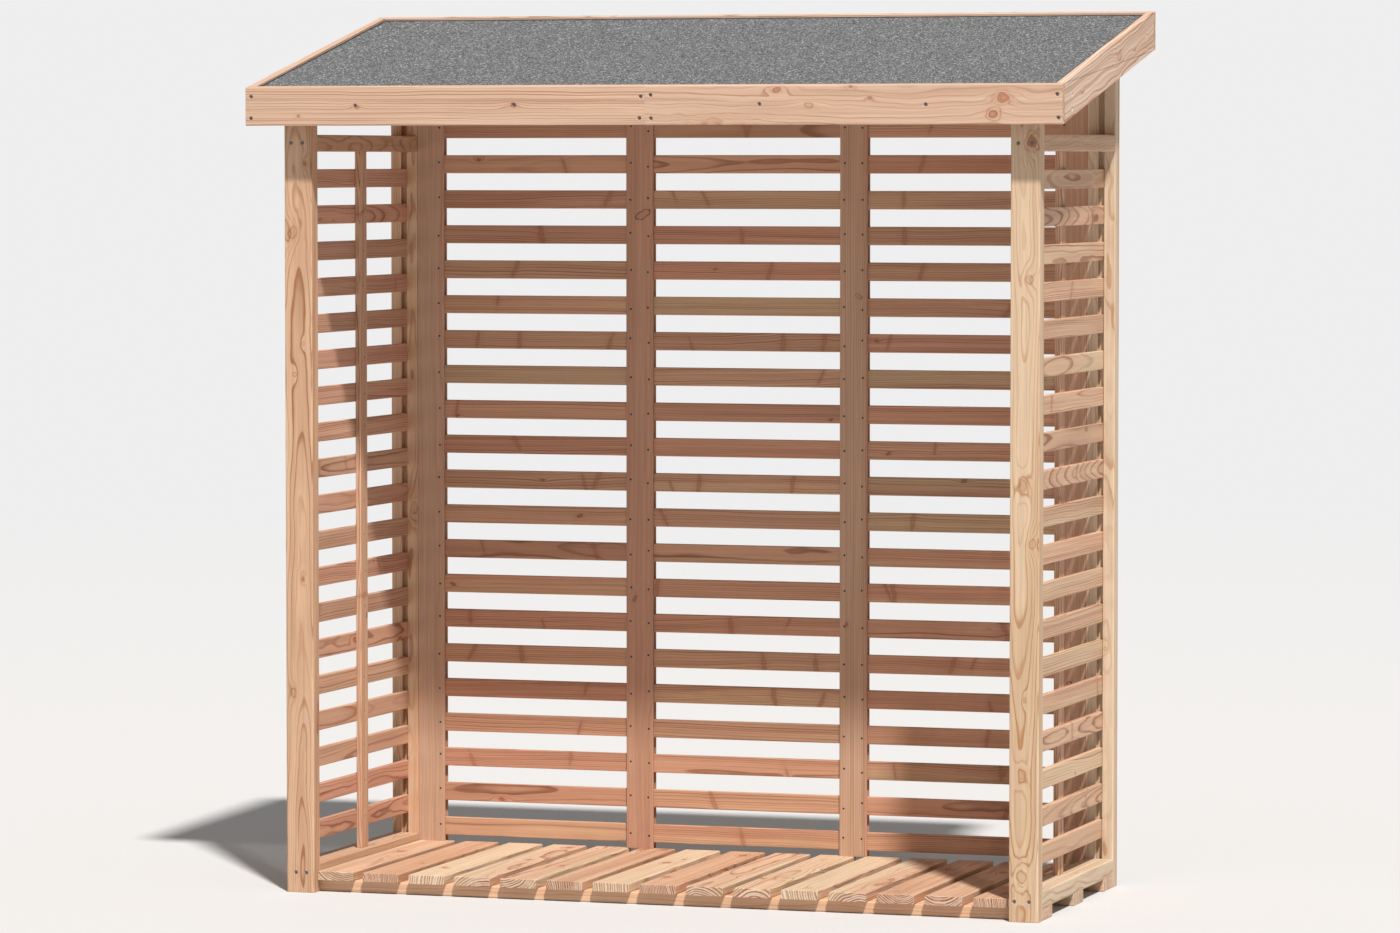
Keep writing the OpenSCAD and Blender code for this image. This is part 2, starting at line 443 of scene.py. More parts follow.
def grooved(lo, hi, sides):
    """Outline and radii of an upright with grooves in the named sides, seen from above."""
    cx = (lo.x + hi.x) / 2
    cy = (lo.y + hi.y) / 2
    half = GROOVE_W / 2
    outline = []
    radii = []
    for side, corner, middle, along, inward in (
            ("front", (lo.x, lo.y), (cx, lo.y), (1, 0), (0, 1)),
            ("right", (hi.x, lo.y), (hi.x, cy), (0, 1), (-1, 0)),
            ("rear", (hi.x, hi.y), (cx, hi.y), (-1, 0), (0, -1)),
            ("left", (lo.x, hi.y), (lo.x, cy), (0, -1), (1, 0))):
        outline.append(corner)
        radii.append(FRAME_ARRIS)
        if side in sides:
            for step, depth in ((-half, 0), (-half, GROOVE_D), (half, GROOVE_D), (half, 0)):
                x = middle[0] + along[0] * step + inward[0] * depth
                y = middle[1] + along[1] * step + inward[1] * depth
                outline.append((x, y))
            radii += [GROOVE_LIP, 0, 0, GROOVE_LIP]
    return outline, radii


def upright(node, sides, material, screws=(), dents=(), lean=0.0, **more):
    """Grooved post or stile, as one piece."""
    lo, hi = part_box(node)
    outline, radii = grooved(lo, hi, sides)
    solid = prism(outline, radii, (X, Y, Z), lo.z, hi.z, TIGHT_EASE)
    if screws:
        solid = screwed(solid, screws)
    if dents:
        solid = nailed(solid, dents)
    timbers = Timbers(node, ALL_KNOTS)
    grain, through = leaning(Z, Y, lean)
    timbers.add(solid, (lo + hi) / 2, grain, X, through, (hi.x - lo.x, hi.y - lo.y), **more)
    timbers.piece(material, "frame_timber")


def bevelled(lo, hi):
    """Outline of a board on edge whose top follows the pitch, seen from the side of the store."""
    low_top = hi.z - SLOPE * (hi.y - lo.y)
    return [(lo.y, lo.z), (hi.y, lo.z), (hi.y, hi.z), (lo.y, low_top)]


def pitched(lo, hi):
    """Outline of a board that lies along the pitch, seen from the side of the store."""
    rise = SLOPE * (hi.y - lo.y)
    return [(lo.y, lo.z), (hi.y, lo.z + rise), (hi.y, hi.z), (lo.y, hi.z - rise)]


def crosswise(outline, radii, lo, hi, ease):
    """Solid of an outline seen from the side of the store, drawn across it between two corners."""
    return prism(outline, radii, (Y, Z, X), lo.x, hi.x, ease)


# Materials


class Net:
    """Short names for building the nodes of one material."""

    def __init__(self, name):
        self.material = bpy.data.materials.new(name)
        self.material.use_nodes = True
        self.tree = self.material.node_tree
        self.shader = self.tree.nodes["Principled BSDF"]

    def put(self, socket, value):
        if isinstance(value, bpy.types.NodeSocket):
            self.tree.links.new(value, socket)
        else:
            socket.default_value = value

    def node(self, kind, *inputs, **settings):
        made = self.tree.nodes.new("ShaderNode" + kind)
        for key, value in settings.items():
            setattr(made, key, value)
        for i, value in enumerate(inputs):
            if value is not None:
                self.put(made.inputs[i], value)
        return made

    def m(self, operation, *inputs):
        return self.node("Math", *inputs, operation=operation).outputs[0]

    def v(self, operation, *inputs):
        return self.node("VectorMath", *inputs, operation=operation).outputs[0]

    def length(self, vector):
        return self.node("VectorMath", vector, operation="LENGTH").outputs["Value"]

    def pick(self, choice, a, b):
        """The first value where the choice is nought, the second where it is one."""
        made = self.node("Mix", data_type="FLOAT")
        self.put(made.inputs[0], choice)
        self.put(made.inputs[2], a)
        self.put(made.inputs[3], b)
        return made.outputs[0]

    def add(self, *values):
        total = values[0]
        for value in values[1:]:
            total = self.m("ADD", total, value)
        return total

    def mul(self, *values):
        total = values[0]
        for value in values[1:]:
            total = self.m("MULTIPLY", total, value)
        return total

    def sub(self, a, b):
        return self.m("SUBTRACT", a, b)

    def mad(self, a, b, c):
        """The first value times the second, plus the third."""
        return self.m("MULTIPLY_ADD", a, b, c)

    def cap(self, value):
        """The value, but never above one."""
        return self.m("MINIMUM", value, 1.0)

    def around(self, value, amount, middle=0.5):
        """A factor near one that follows a value around its middle."""
        return self.mad(value, amount, 1 - amount * middle)

    def attribute(self, name, output="Vector"):
        return self.node("Attribute", attribute_name=name).outputs[output]

    def split(self, vector):
        return self.node("SeparateXYZ", vector).outputs[:3]

    def vec(self, x, y, z):
        return self.node("CombineXYZ", x, y, z).outputs[0]

    def noise(self, vector, scale=1.0, detail=2.0, rough=0.5):
        made = self.node("TexNoise", noise_dimensions="3D")
        self.put(made.inputs["Vector"], vector)
        self.put(made.inputs["Scale"], scale)
        self.put(made.inputs["Detail"], detail)
        self.put(made.inputs["Roughness"], rough)
        return made

    def smooth(self, value, start, end, low=0.0, high=1.0):
        made = self.node("MapRange", value, start, end, low, high, interpolation_type="SMOOTHSTEP")
        return made.outputs[0]

    def mix(self, factor, a, b, blend="MIX"):
        made = self.node("Mix", data_type="RGBA", blend_type=blend)
        self.put(made.inputs[0], factor)
        self.put(made.inputs[6], a)
        self.put(made.inputs[7], b)
        return made.outputs[2]

    def shade(self, colour, factor):
        """Colour made lighter or darker by a factor."""
        return self.v("MULTIPLY", colour, factor)

    def surface(self, colour, roughness, gloss=0.5):
        self.put(self.shader.inputs["Base Color"], colour)
        self.put(self.shader.inputs["Roughness"], roughness)
        self.put(self.shader.inputs["Specular IOR Level"], gloss)

    def relief(self, strength, height):
        """Fine unevenness of the surface, with its height in metres."""
        made = self.node("Bump")
        self.put(made.inputs["Strength"], strength)
        self.put(made.inputs["Distance"], 1.0)
        self.put(made.inputs["Height"], height)
        self.put(self.shader.inputs["Normal"], made.outputs["Normal"])


def rgb(r, g, b):
    return (r, g, b, 1.0)


RED_TO_OLIVE = ((1.03, 0.985, 0.95), (0.975, 1.0, 1.03))
PALE_KNOT = {"fill": 0.28, "turn": 1.0, "rim": 0.75}
SPIKE_KNOT = {"fill": 0.55, "turn": 0.4, "rim": 0.25}
RIM_KNOT = {"fill": 0.20, "turn": 0.1, "rim": 1.7}


def wood(name, heart, sap, spacing, contrast, sap_line=(0.05, 0.14), knots=FEW_KNOTS, spikes=0.0,
         tints=RED_TO_OLIVE, other_knots=PALE_KNOT):
    """Planed softwood: growth rings round a heart that wanders, knots that turn the grain, and fine fibres.

    Heart and sap are the light and dark colours of the wood inside and outside the sap line. The other knots
    are those with a negative radius. Spikes is how far they are drawn out across the board.
    """
    n = Net(name)
    x, y, z = n.split(n.attribute("grain"))
    shift, heart_y, heart_z = n.split(n.attribute("pith"))
    bright, hue, sapwood = n.split(n.attribute("tone"))
    drift, figure, lines = n.split(n.attribute("habit"))
    edge = n.attribute("edge", "Fac")
    cut = n.attribute("cut", "Fac")
    xs = n.add(x, shift)

    def field(along, across, detail=1.0, rough=0.5):
        return n.noise(n.vec(n.mul(xs, along), n.mul(y, across), n.mul(z, across)), 1.0, detail, rough)

    def spread(value, amount):
        return n.mul(n.sub(value, 0.5), amount)

    # Distance from the heart, which wanders along the board
    wander_y, wander_z = n.split(field(0.85, 2.2, 0.0).outputs["Color"])[:2]
    sway_y, sway_z = n.split(field(3.3, 5.0, 0.0).outputs["Color"])[:2]
    far = n.mul(drift, 0.075)
    near = n.mul(drift, 0.018)
    ry = n.add(n.sub(y, heart_y), spread(wander_y, far), spread(sway_y, near))
    rz = n.add(n.sub(z, heart_z), spread(wander_z, far), spread(sway_z, near))
    radius = n.m("SQRT", n.add(n.mul(ry, ry), n.mul(rz, rz)))
    swell = field(4.2, 15.0).outputs["Fac"]
    ripple = field(12.0, 36.0).outputs["Fac"]
    radius = n.add(radius, spread(swell, n.mul(figure, 0.020)), spread(ripple, n.mul(figure, 0.0055)))

    # Knots: how near the nearest one is, in shares of its radius, and how each turns the rings round it
    here = n.vec(x, y, 0.0)
    jolt = n.v("SUBTRACT", field(38.0, 70.0, 0.0).outputs["Color"], (0.5, 0.5, 0.5))
    jolt = n.v("MULTIPLY", jolt, (1.5, 1.3, 0.0))
    wobble = n.mad(ripple, 0.6, 0.70)
    spread_out = math.exp(-1 / 1.9 ** 2)
    nearest = 9.0
    is_other = 0.0
    size = 0.0
    halo = 0.0
    for knot in KNOTS[:knots]:
        at = n.attribute(knot)
        kx, ky, signed = n.split(at)
        kr = n.m("ABSOLUTE", signed)
        other = n.m("LESS_THAN", signed, 0.0)
        if spikes:
            twist = n.sub(n.m("FRACT", n.mul(n.add(kx, 7.0), 37.0)), 0.5)
            off_y = n.sub(y, ky)
            off_x = n.mad(off_y, twist, n.sub(x, kx))
            off = n.vec(off_x, n.mul(off_y, n.mad(other, -spikes, 1.0)), 0.0)
        else:
            off = n.v("MULTIPLY", n.v("SUBTRACT", here, at), (1.0, 1.0, 0.0))
        off = n.v("MULTIPLY_ADD", jolt, kr, off)
        t = n.m("DIVIDE", n.mul(n.length(n.v("MULTIPLY", off, (0.742, 1.0, 0.0))), wobble), kr)
        flow = n.m("DIVIDE", n.length(n.v("MULTIPLY", off, (0.4, 1.0, 0.0))), kr)
        bump = n.m("POWER", spread_out, n.mul(flow, flow))
        turn = n.mad(other, other_knots["turn"] - 1.5, 1.5)
        radius = n.mad(n.mul(bump, kr), turn, radius)
        strength = n.mad(other, other_knots["fill"] - 1.0, 1.0)
        halo = n.mad(n.mul(bump, bump), strength, halo)
        nearer = n.m("LESS_THAN", t, nearest)
        is_other = n.pick(nearer, is_other, other)
        size = n.pick(nearer, size, kr)
        nearest = n.m("MINIMUM", nearest, t)
    strength = n.mad(is_other, other_knots["fill"] - 1.0, 1.0)
    inside = n.mul(n.smooth(nearest, 1.25 if spikes else 1.08, 0.60 if spikes else 0.86), strength)
    band = n.mul(n.smooth(nearest, 0.78, 0.98), n.smooth(nearest, 1.22, 1.02))
    rim = n.mul(band, n.mad(is_other, other_knots["rim"] - 1.0, 1.0))
    sound = n.mul(n.sub(1.0, is_other), n.smooth(size, 0.0055, 0.0075))
    collar = n.mul(n.smooth(nearest, 1.62, 1.86), n.smooth(nearest, 2.20, 1.96), sound)
    core = n.add(n.m("SINE", n.mul(nearest, 15.0)), n.smooth(nearest, 0.60, 0.20, 0.0, -1.2))
    knot_rings = n.mul(n.smooth(nearest, 1.3, 1.0), core)

    # Growth rings, pale in spring and dark at the end of the year
    width = n.mad(hue, spacing * 0.5, spacing * 0.75)
    uneven = n.noise(n.vec(n.mul(radius, 42.0), shift, 0.0), 1.0, 1.0).outputs["Fac"]
    rings = n.add(n.m("DIVIDE", radius, width), n.mul(uneven, 2.2))
    part = n.m("FRACT", rings)
    which = n.node("TexWhiteNoise", noise_dimensions="1D")
    n.put(which.inputs["W"], n.add(n.m("FLOOR", rings), n.mul(shift, 13.7)))
    start = n.mad(cut, -0.30, 0.62)
    late = n.mul(n.smooth(part, start, n.add(start, 0.27)), n.smooth(part, 1.0, 0.94))
    late = n.mul(late, n.mad(which.outputs["Value"], 0.75, 0.25))
    years = n.noise(n.vec(n.mul(radius, 150.0), shift, n.mul(xs, 0.6)), 1.0, 1.0, 0.6).outputs["Fac"]
    late = n.mul(late, n.smooth(years, 0.30, 0.62, 0.45, 1.25))

    # Fibres, streaks and fine checks along the grain
    fibre = field(16.0, 900.0).outputs["Fac"]
    streak = field(2.4, 150.0, 2.0, 0.6).outputs["Fac"]
    patch = field(1.7, 11.0, 2.0).outputs["Fac"]
    cream = n.smooth(field(1.2, 48.0).outputs["Fac"], 0.54, 0.70)
    check = n.smooth(streak, 0.72, 0.77)

    # Colour of the clear wood
    line = n.mad(sapwood, sap_line[1] - sap_line[0], sap_line[0])
    beyond = n.sub(n.add(radius, spread(patch, 0.03)), line)
    outer = n.smooth(beyond, -0.008, 0.010)
    light = n.mix(outer, rgb(*heart[0]), rgb(*sap[0]))
    dark = n.mix(outer, rgb(*heart[1]), rgb(*sap[1]))
    light = n.mix(n.mul(cut, 0.60), light, rgb(0.66, 0.56, 0.47))
    share = n.mul(late, n.mad(cut, 1.30, contrast), lines)
    colour = n.mix(n.cap(share), light, dark)
    colour = n.mix(n.mul(n.smooth(patch, 0.50, 0.72), 0.20), colour, dark)
    colour = n.mix(n.mul(n.smooth(years, 0.42, 0.68), lines, 0.26), colour, dark)
    colour = n.mix(n.mul(cream, 0.34), colour, rgb(*sap[0]))
    factor = n.mul(n.around(fibre, 0.20), n.around(streak, 0.48), n.around(bright, 0.16))
    # Faces of the eased arrises are made 6 % lighter: a painted highlight along the edges
    colour = n.shade(colour, n.mul(factor, n.mad(edge, 0.06, 1.0)))
    colour = n.mix(1.0, colour, n.mix(hue, rgb(*tints[0]), rgb(*tints[1])), "MULTIPLY")

    def darker(r, g, b):
        return rgb(heart[1][0] * r, heart[1][1] * g, heart[1][2] * b)

    # Colour of the knots and of the wood round them
    colour = n.mix(n.cap(n.mul(halo, 0.36)), colour, darker(1.25, 1.0, 0.85))
    knot_tone = n.mad(knot_rings, 0.24, 0.46)
    knot_colour = n.mix(knot_tone, darker(1.55, 1.50, 1.45), darker(0.72, 0.50, 0.42))
    colour = n.mix(n.cap(n.mul(inside, 0.85)), colour, knot_colour)
    broken = n.smooth(ripple, 0.34, 0.60, 0.25, 0.80)
    colour = n.mix(n.cap(n.mul(rim, broken)), colour, darker(0.50, 0.32, 0.25))
    colour = n.mix(n.cap(n.mul(collar, broken, 0.75)), colour, darker(1.15, 0.80, 0.62))
    colour = n.mix(n.mul(check, 0.30), colour, darker(0.40, 0.30, 0.24))

    rough = n.add(n.mad(fibre, 0.20, 0.50), n.mul(late, -0.07), n.mul(cut, 0.14), n.mul(streak, 0.08))
    n.surface(colour, rough, 0.32)
    n.relief(0.55, n.add(n.mul(fibre, 0.00024), n.mul(streak, 0.00030), n.mul(check, -0.0005)))
    return n.material


def felt_material():
    """Bitumen felt with a close layer of grey mineral chips, and painted shade: a dark strip along its edges
    where it meets the fascia.
    """
    n = Net("mineral_felt")
    spot = n.node("TexCoord").outputs["Object"]
    chips = n.node("TexVoronoi", feature="F1")
    n.put(chips.inputs["Vector"], spot)
    n.put(chips.inputs["Scale"], 330.0)
    chip, chip_b, chip_c = n.split(chips.outputs["Color"])
    fleck = n.noise(spot, 95.0, 3.0, 0.65).outputs["Fac"]
    cloud = n.noise(spot, 3.2, 3.0, 0.55).outputs["Fac"]
    value = n.mul(n.around(chip, 1.10), n.around(fleck, 0.80), n.around(cloud, 0.15))
    colour = n.shade(n.mix(chip_c, rgb(0.117, 0.124, 0.132), rgb(0.130, 0.134, 0.137)), value)
    colour = n.mix(n.smooth(chip_b, 0.84, 0.92, 0.0, 0.85), colour, rgb(0.46, 0.46, 0.46))
    colour = n.mix(n.smooth(chip_c, 0.20, 0.10, 0.0, 0.80), colour, rgb(0.022, 0.022, 0.024))
    # Painted shade: a dark strip along the felt's edges, standing in for the shaded gap next to the fascia
    # boards
    lo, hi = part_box("roof_felt")
    across, up = n.split(spot)[:2]
    rough_edge = n.mad(fleck, 0.010, -0.005)
    to_side = n.sub((hi.x - lo.x) / 2, n.m("ABSOLUTE", n.sub(across, (hi.x + lo.x) / 2)))
    to_end = n.sub((hi.y - lo.y) / 2, n.m("ABSOLUTE", n.sub(up, (hi.y + lo.y) / 2)))
    to_edge = n.add(n.m("MINIMUM", n.mul(to_side, 1.6), to_end), rough_edge)
    colour = n.mix(n.smooth(to_edge, 0.016, 0.009, 0.0, 0.85), colour, rgb(0.020, 0.020, 0.022))
    n.surface(colour, n.mad(chip_b, 0.16, 0.80), 0.25)
    n.relief(0.7, n.add(n.mul(chip, 0.0007), n.mul(fleck, 0.0010)))
    return n.material


def steel_material(name, deep, pale, metal):
    """Dulled steel, stained between two tones."""
    n = Net(name)
    stain = n.noise(n.node("TexCoord").outputs["Object"], 900.0, 3.0).outputs["Fac"]
    n.surface(n.mix(n.smooth(stain, 0.35, 0.7), rgb(*deep), rgb(*pale)), n.mad(stain, 0.30, 0.32))
    n.shader.inputs["Metallic"].default_value = metal
    n.relief(0.3, n.mul(stain, 0.0002))
    return n.material


HEART = ((0.572, 0.374, 0.241), (0.312, 0.136, 0.067))
SAP = ((0.612, 0.470, 0.330), (0.395, 0.210, 0.100))
SLAT_TINTS = ((1.05, 0.965, 0.95), (0.965, 1.03, 0.99))
SIDE_TINTS = ((1.025, 0.985, 0.97), (0.98, 1.015, 0.995))
FLOOR_TINTS = ((1.0, 0.92, 0.86), (1.0, 1.02, 1.02))
SLATTED = {"spacing": 0.0052, "spikes": 0.86, "other_knots": SPIKE_KNOT}
frame_wood = wood("frame_timber_fir", HEART, SAP, spacing=0.0042, contrast=1.0, knots=ALL_KNOTS)
fascia_wood = wood(
    "fascia_timber_fir",
    heart=((0.602, 0.416, 0.298), (0.345, 0.165, 0.096)),
    sap=((0.624, 0.461, 0.360), (0.400, 0.206, 0.112)),
    spacing=0.0056, contrast=0.95, knots=ALL_KNOTS)
stile_wood = wood(
    "stile_timber_fir",
    heart=((0.535, 0.302, 0.203), (0.270, 0.120, 0.072)),
    sap=((0.545, 0.345, 0.235), (0.34, 0.18, 0.10)),
    spacing=0.0046, contrast=0.85, sap_line=(0.07, 0.20), spikes=0.5, other_knots=RIM_KNOT)
slat_wood = wood(
    "slat_timber_fir",
    heart=((0.555, 0.305, 0.198), (0.250, 0.106, 0.062)),
    sap=((0.575, 0.37, 0.235), (0.33, 0.172, 0.09)),
    contrast=1.15, sap_line=(0.06, 0.18), tints=SLAT_TINTS, **SLATTED)
side_wood = wood(
    "side_timber_fir",
    heart=((0.600, 0.378, 0.252), (0.285, 0.130, 0.073)),
    sap=((0.63, 0.458, 0.306), (0.37, 0.20, 0.103)),
    contrast=1.4, sap_line=(0.04, 0.14), tints=SIDE_TINTS, **SLATTED)
# Copy of the side slats' wood made redder and darker for the left slats: painted shade, the warm shade inside
# the store
shaded_left_wood = wood(
    "shaded_left_timber_fir",
    heart=((0.588, 0.336, 0.236), (0.275, 0.117, 0.068)),
    sap=((0.608, 0.402, 0.282), (0.355, 0.182, 0.099)),
    contrast=1.3, sap_line=(0.06, 0.18), tints=SLAT_TINTS, **SLATTED)
floor_wood = wood(
    "floor_timber_fir",
    heart=((0.610, 0.395, 0.270), (0.290, 0.130, 0.067)),
    sap=SAP, spacing=0.0052, contrast=0.95, tints=FLOOR_TINTS)
# Bearers: a lighter, more orange wood, partly their own colour and partly painted light, the warm light bounced
# into the shade under the floor
bearer_wood = wood(
    "bearer_timber_fir",
    heart=((0.676, 0.440, 0.287), (0.415, 0.202, 0.104)),
    sap=SAP, spacing=0.0050, contrast=0.85, sap_line=(0.10, 0.20))
roof_wood = wood(
    "roof_timber_fir",
    heart=((0.545, 0.335, 0.220), (0.330, 0.160, 0.090)),
    sap=SAP, spacing=0.0050, contrast=0.85)
felt_grey = felt_material()
screw_steel = steel_material("plated_steel", (0.11, 0.11, 0.112), (0.34, 0.335, 0.33), 0.85)
nail_steel = steel_material("dark_steel", (0.020, 0.016, 0.014), (0.045, 0.038, 0.033), 0.30)


# Posts and rails

POST_GRAIN = {
    "front_post_left": {
        "heart": (0.004, 0.025), "tone": (0.80, 0.35, 0.80), "habit": (0.35, 0.6, 1.20), "lean": 0.018},
    "front_post_right": {
        "heart": (-0.006, 0.035), "tone": (0.60, 0.05, -0.3), "habit": (0.34, 0.34, 1.10), "lean": -0.014},
    "rear_post_right": {"heart": (0.020, 0.060), "tone": (0.90, 0.95, 0.02), "habit": (0.40, 1.1, 0.80)},
}
RAIL_TONES = {
    "bottom_rail_right": (0.80, 0.95, 0.02),
    "top_rail_right": (0.35, 0.0, 0.95),
    "top_rail_left": (0.10, 0.0, 2.0),
}
POST_KNOTS = {
    "front_post_left": [
        (-0.442, -0.016, -0.0070), (-0.169, 0.009, 0.0035), (0.319, -0.010, -0.0050),
        (0.656, -0.016, -0.0095), (0.393, 0.012, -0.0040), (0.822, 0.017, 0.0040)],
    "front_post_right": [
        (-0.816, -0.005, -0.0095), (-0.583, -0.007, -0.0070), (-0.407, 0.001, -0.0045),
        (-0.049, 0.019, -0.0080), (0.085, -0.004, -0.0085), (0.558, 0.010, -0.0080), (0.873, 0.0145, 0.0090)],
}
POST_SCREWS = {
    ("front_post_left", "top"): (-0.0170, 0.0120),
    ("front_post_left", "bottom"): (-0.0110, 0.0155),
    ("front_post_right", "top"): (-0.0180, 0.0145),
    ("front_post_right", "bottom"): (-0.0230, 0.0130),
}
USUAL_SCREWS = (-0.0165, 0.0125)

# Places of all the screws and nails, each with the direction that it faces
screws = []
nails = []

for name in ("left", "right"):
    for row, y_out, groove in (("front", -1, "rear"), ("rear", 1, "front")):
        node = f"{row}_post_{name}"
        lo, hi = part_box(node)
        face_y = lo.y if y_out < 0 else hi.y
        rng = random.Random("screws-" + node)
        here = []
        for end in ("top", "bottom"):
            rail_lo, rail_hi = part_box(f"{end}_rail_{name}")
            level = (rail_lo.z + rail_hi.z) / 2
            for offset in POST_SCREWS.get((node, end), USUAL_SCREWS):
                x_at = (lo.x + hi.x) / 2 + offset + stray(rng, 0.001)
                here.append((Vector((x_at, face_y, level + stray(rng, 0.002))), Y * y_out))
        screws += here
        knots = POST_KNOTS.get(node) or some_knots(node, hi.z - lo.z, "post")
        upright(node, (groove,), frame_wood, here, knots=knots, **POST_GRAIN.get(node, {}))
    for end in ("top", "bottom"):
        node = f"{end}_rail_{name}"
        lo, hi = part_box(node)
        timbers = Timbers(node, ALL_KNOTS)
        knots = some_knots(node, hi.y - lo.y, "rail")
        straight(timbers, lo, hi, IY, IZ, FRAME_ARRIS, knots=knots, tone=RAIL_TONES.get(node))
        timbers.piece(frame_wood, "frame_timber")

# Side slats and the battens inside them

RIGHT_SLATS = {
    1: {"heart": (-0.012, -0.045), "tone": (0.55, 0.60, 1.0), "habit": (0.25, 0.4, 1.10), "lean": 0.050},
    3: {"heart": (0.002, -0.035), "tone": (0.50, 0.35, 2.0), "habit": (0.35, 0.7, 1.10), "lean": 0.030},
    5: {"heart": (-0.080, 0.020), "tone": (0.65, 0.85, 0.5), "habit": (0.30, 0.4, 1.00)},
    6: {"heart": (0.075, 0.030), "tone": (0.60, 0.45, 0.6), "habit": (0.30, 0.4, 1.00)},
    10: {"heart": (0.002, -0.045), "tone": (0.55, 0.50, 2.0), "habit": (0.25, 0.3, 1.60), "lean": 0.083},
    17: {"heart": (-0.004, -0.050), "tone": (0.35, 0.30, 2.0), "habit": (0.25, 0.4, 1.20), "lean": -0.045},
}
for side, name in ((-1, "left"), (1, "right")):
    node = f"side_slats_{name}"
    timbers = Timbers(node, flat=0.40, swell=(0.2, 0.7))
    batten_lo, batten_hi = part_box(f"side_batten_{name}")
    inner_x = batten_lo.x if side > 0 else batten_hi.x
    dents = []
    for i, (lo, hi) in enumerate(islands(node)):
        knots = some_knots(f"{node}-{i}", hi.y - lo.y, "side_slat")
        grain = RIGHT_SLATS.get(i, {}) if side > 0 else {}
        straight(timbers, lo, hi, IY, IX, SLAT_ARRIS, knots=knots, **grain)
        rng = random.Random(f"nail-{node}-{i}")
        at = Vector((inner_x, stray(rng, 0.006), (lo.z + hi.z) / 2 + stray(rng, 0.006)))
        dents.append((at, X * -side))
    timbers.piece(shaded_left_wood if side < 0 else side_wood, "slat_timber")
    nails += dents
    node = f"side_batten_{name}"
    timbers = Timbers(node)
    knots = some_knots(node, BATTEN_SPAN, "batten")
    straight(timbers, batten_lo, batten_hi, IZ, IX, SLAT_ARRIS, nails=dents, knots=knots)
    timbers.piece(side_wood, "slat_timber")

# Back panel

BOTH = ("left", "right")
STILES = {"left": ("right",), "mid_left": BOTH, "mid_right": BOTH, "right": ("left",)}
STILE_GRAIN = {
    "left": {"heart": (0.060, 0.080), "tone": (0.50, 0.80, 0.20), "habit": (0.3, 0.6, 0.55)},
    "mid_left": {"heart": (0.050, 0.110), "tone": (0.08, 0.35, 0.90), "habit": (0.3, 0.5, 0.50)},
    "mid_right": {"heart": (0.110, 0.030), "tone": (0.60, 0.75, 0.15), "habit": (0.2, 0.3, 1.00)},
}
STILE_NAIL_IN = 0.012
DARK_KNOT_LEVEL = 1.6165
levels = [(lo.z + hi.z) / 2 for lo, hi in islands("back_slats_middle")]
for name, sides in STILES.items():
    node = f"back_stile_{name}"
    lo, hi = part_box(node)
    if name == "mid_left":
        knots = [(DARK_KNOT_LEVEL - (lo.z + hi.z) / 2, 0.008, -0.0068), (-0.35, -0.012, 0.0050)]
    else:
        knots = some_knots(node, hi.z - lo.z, "stile")
    rng = random.Random("nails-" + node)
    dents = []
    for level in levels:
        for side in sides:
            x_at = hi.x - STILE_NAIL_IN if side == "right" else lo.x + STILE_NAIL_IN
            at = Vector((x_at + stray(rng, 0.0015), lo.y, level + stray(rng, 0.008)))
            dents.append((at, -Y))
    upright(node, sides, stile_wood, dents=dents, knots=knots, **STILE_GRAIN.get(name, {}))
    nails += dents
for bay in ("left", "middle", "right"):
    node = f"back_slats_{bay}"
    timbers = Timbers(node, flat=0.20, swell=(0.15, 0.6))
    for i, (lo, hi) in enumerate(islands(node)):
        knots = some_knots(f"{node}-{i}", hi.x - lo.x, "back_slat")
        straight(timbers, lo, hi, IX, IY, SLAT_ARRIS, knots=knots)
    timbers.piece(slat_wood, "slat_timber")

# Floor

FLOOR_NAIL_OUT = 0.024
# Hues of the redder boards, by their number from the left
RED_BOARDS = {1: 0.10, 5: 0.45, 7: 0.05, 12: 0.20, 13: 0.50, 14: 0.15}

bearer_lines = []
for row in ("front", "middle", "rear"):
    node = f"bearer_{row}"
    lo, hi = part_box(node)
    bearer_lines.append((lo.y + hi.y) / 2)
    timbers = Timbers(node)
    straight(timbers, lo, hi, IX, IZ, FRAME_ARRIS, knots=some_knots(node, hi.x - lo.x, "bearer"))
    timbers.piece(bearer_wood, "floor_timber")
timbers = Timbers("floor_boards")
for i, (lo, hi) in enumerate(islands("floor_boards")):
    rng = random.Random(f"floor-nail-{i}")
    dents = []
    for y_mid in bearer_lines:
        for offset in (-FLOOR_NAIL_OUT, FLOOR_NAIL_OUT):
            x_at = (lo.x + hi.x) / 2 + offset + stray(rng, 0.002)
            dents.append((Vector((x_at, y_mid + stray(rng, 0.004), hi.z)), Z))
    knots = some_knots(f"floor-{i}", hi.y - lo.y, "floor")
    if i in RED_BOARDS:
        tone = (0.35, RED_BOARDS[i], 2.0)
    else:
        tone = (rng.uniform(0.5, 1.0), rng.uniform(0.7, 1.0), rng.uniform(0.0, 0.4))
    straight(timbers, lo, hi, IY, IZ, FRAME_ARRIS, nails=dents, knots=knots, tone=tone)
    nails += dents
timbers.piece(floor_wood, "floor_timber")

# Roof: beams, boards, felt and fascia

for row in ("front", "rear"):
    node = f"roof_beam_{row}"
    lo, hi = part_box(node)
    timbers = Timbers(node, ALL_KNOTS)
    solid = crosswise(bevelled(lo, hi), BEAM_RADII, lo, hi, TIGHT_EASE)
    timbers.add(solid, (lo + hi) / 2, X, Z, Y, BEAM_SIZE, knots=some_knots(node, BEAM_SPAN, "beam"))
    timbers.piece(frame_wood, "frame_timber")
    node = f"fascia_block_{row}"
    lo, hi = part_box(node)
    timbers = Timbers(node)
    solid = crosswise(bevelled(lo, hi), [BLOCK_EASE] * 4, lo, hi, BLOCK_EASE)
    timbers.add(solid, (lo + hi) / 2, Z, X, Y, BLOCK_SIZE)
    timbers.piece(roof_wood, "roof_timber")

